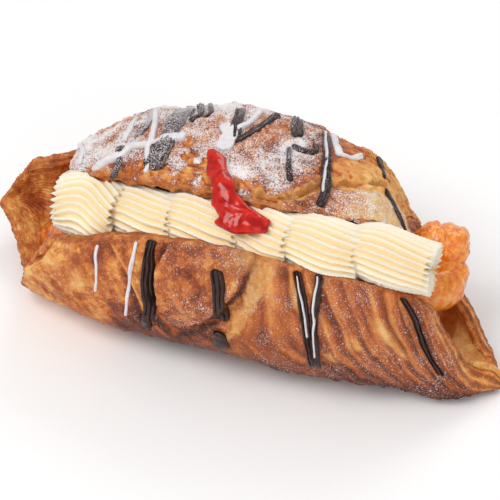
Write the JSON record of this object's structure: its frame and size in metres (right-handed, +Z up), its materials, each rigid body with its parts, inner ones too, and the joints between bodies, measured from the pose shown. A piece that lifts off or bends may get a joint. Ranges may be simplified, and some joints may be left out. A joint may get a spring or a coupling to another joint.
{
  "type": "danish_pastry",
  "caption": "Crescent of laminated danish dough slit along its front top edge, filled with a row of piped cream over apricot and a spoonful of red jam; a snack to serve or display.",
  "frame": {"origin": "middle of the footprint on the plane the pastry rests on", "axes": "+X along the pastry from the open boat-shaped end to the low pointed end, +Y to the back where the lid is hinged, +Z up; the slit faces -Y"},
  "size_m": [0.1863, 0.0856, 0.0707],
  "materials": {
    "baked_dough": "satin",
    "piped_cream": "satin",
    "apricot": "gloss",
    "red_jam": "gloss"
  },
  "bodies": {
    "root": {"pastry": "baked_dough", "cream_shell_1": "piped_cream", "cream_shell_2": "piped_cream", "cream_shell_3": "piped_cream", "cream_shell_4": "piped_cream", "cream_shell_5": "piped_cream", "cream_shell_6": "piped_cream", "apricot_filling": "apricot", "red_jam": "red_jam"}
  },
  "joints": []
}
